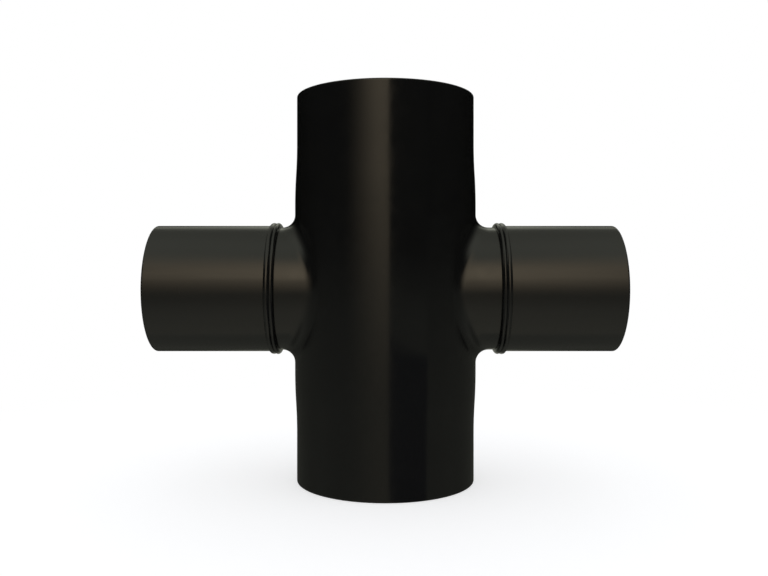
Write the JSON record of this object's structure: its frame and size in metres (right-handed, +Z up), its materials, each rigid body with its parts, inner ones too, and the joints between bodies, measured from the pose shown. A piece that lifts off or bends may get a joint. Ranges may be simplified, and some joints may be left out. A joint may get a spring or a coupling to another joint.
{
  "type": "pipe cross",
  "caption": "Reducing pipe cross in black polyethylene for butt fusion: a large straight run crossed by a smaller branch, with pipe spigots fused to its side outlets.",
  "frame": {"origin": "where the axis of the run crosses the axis of the branches, which is also the centre of the box", "axes": "+Z up along the run, +X along the branch with the longer moulded outlet, +Y to the back"},
  "size_m": [0.58, 0.23, 0.487],
  "materials": {
    "moulded_pe": "satin",
    "pipe_pe": "satin"
  },
  "bodies": {
    "root": {"cross_body": "moulded_pe", "left_spigot": "pipe_pe", "right_spigot": "pipe_pe"}
  },
  "joints": []
}
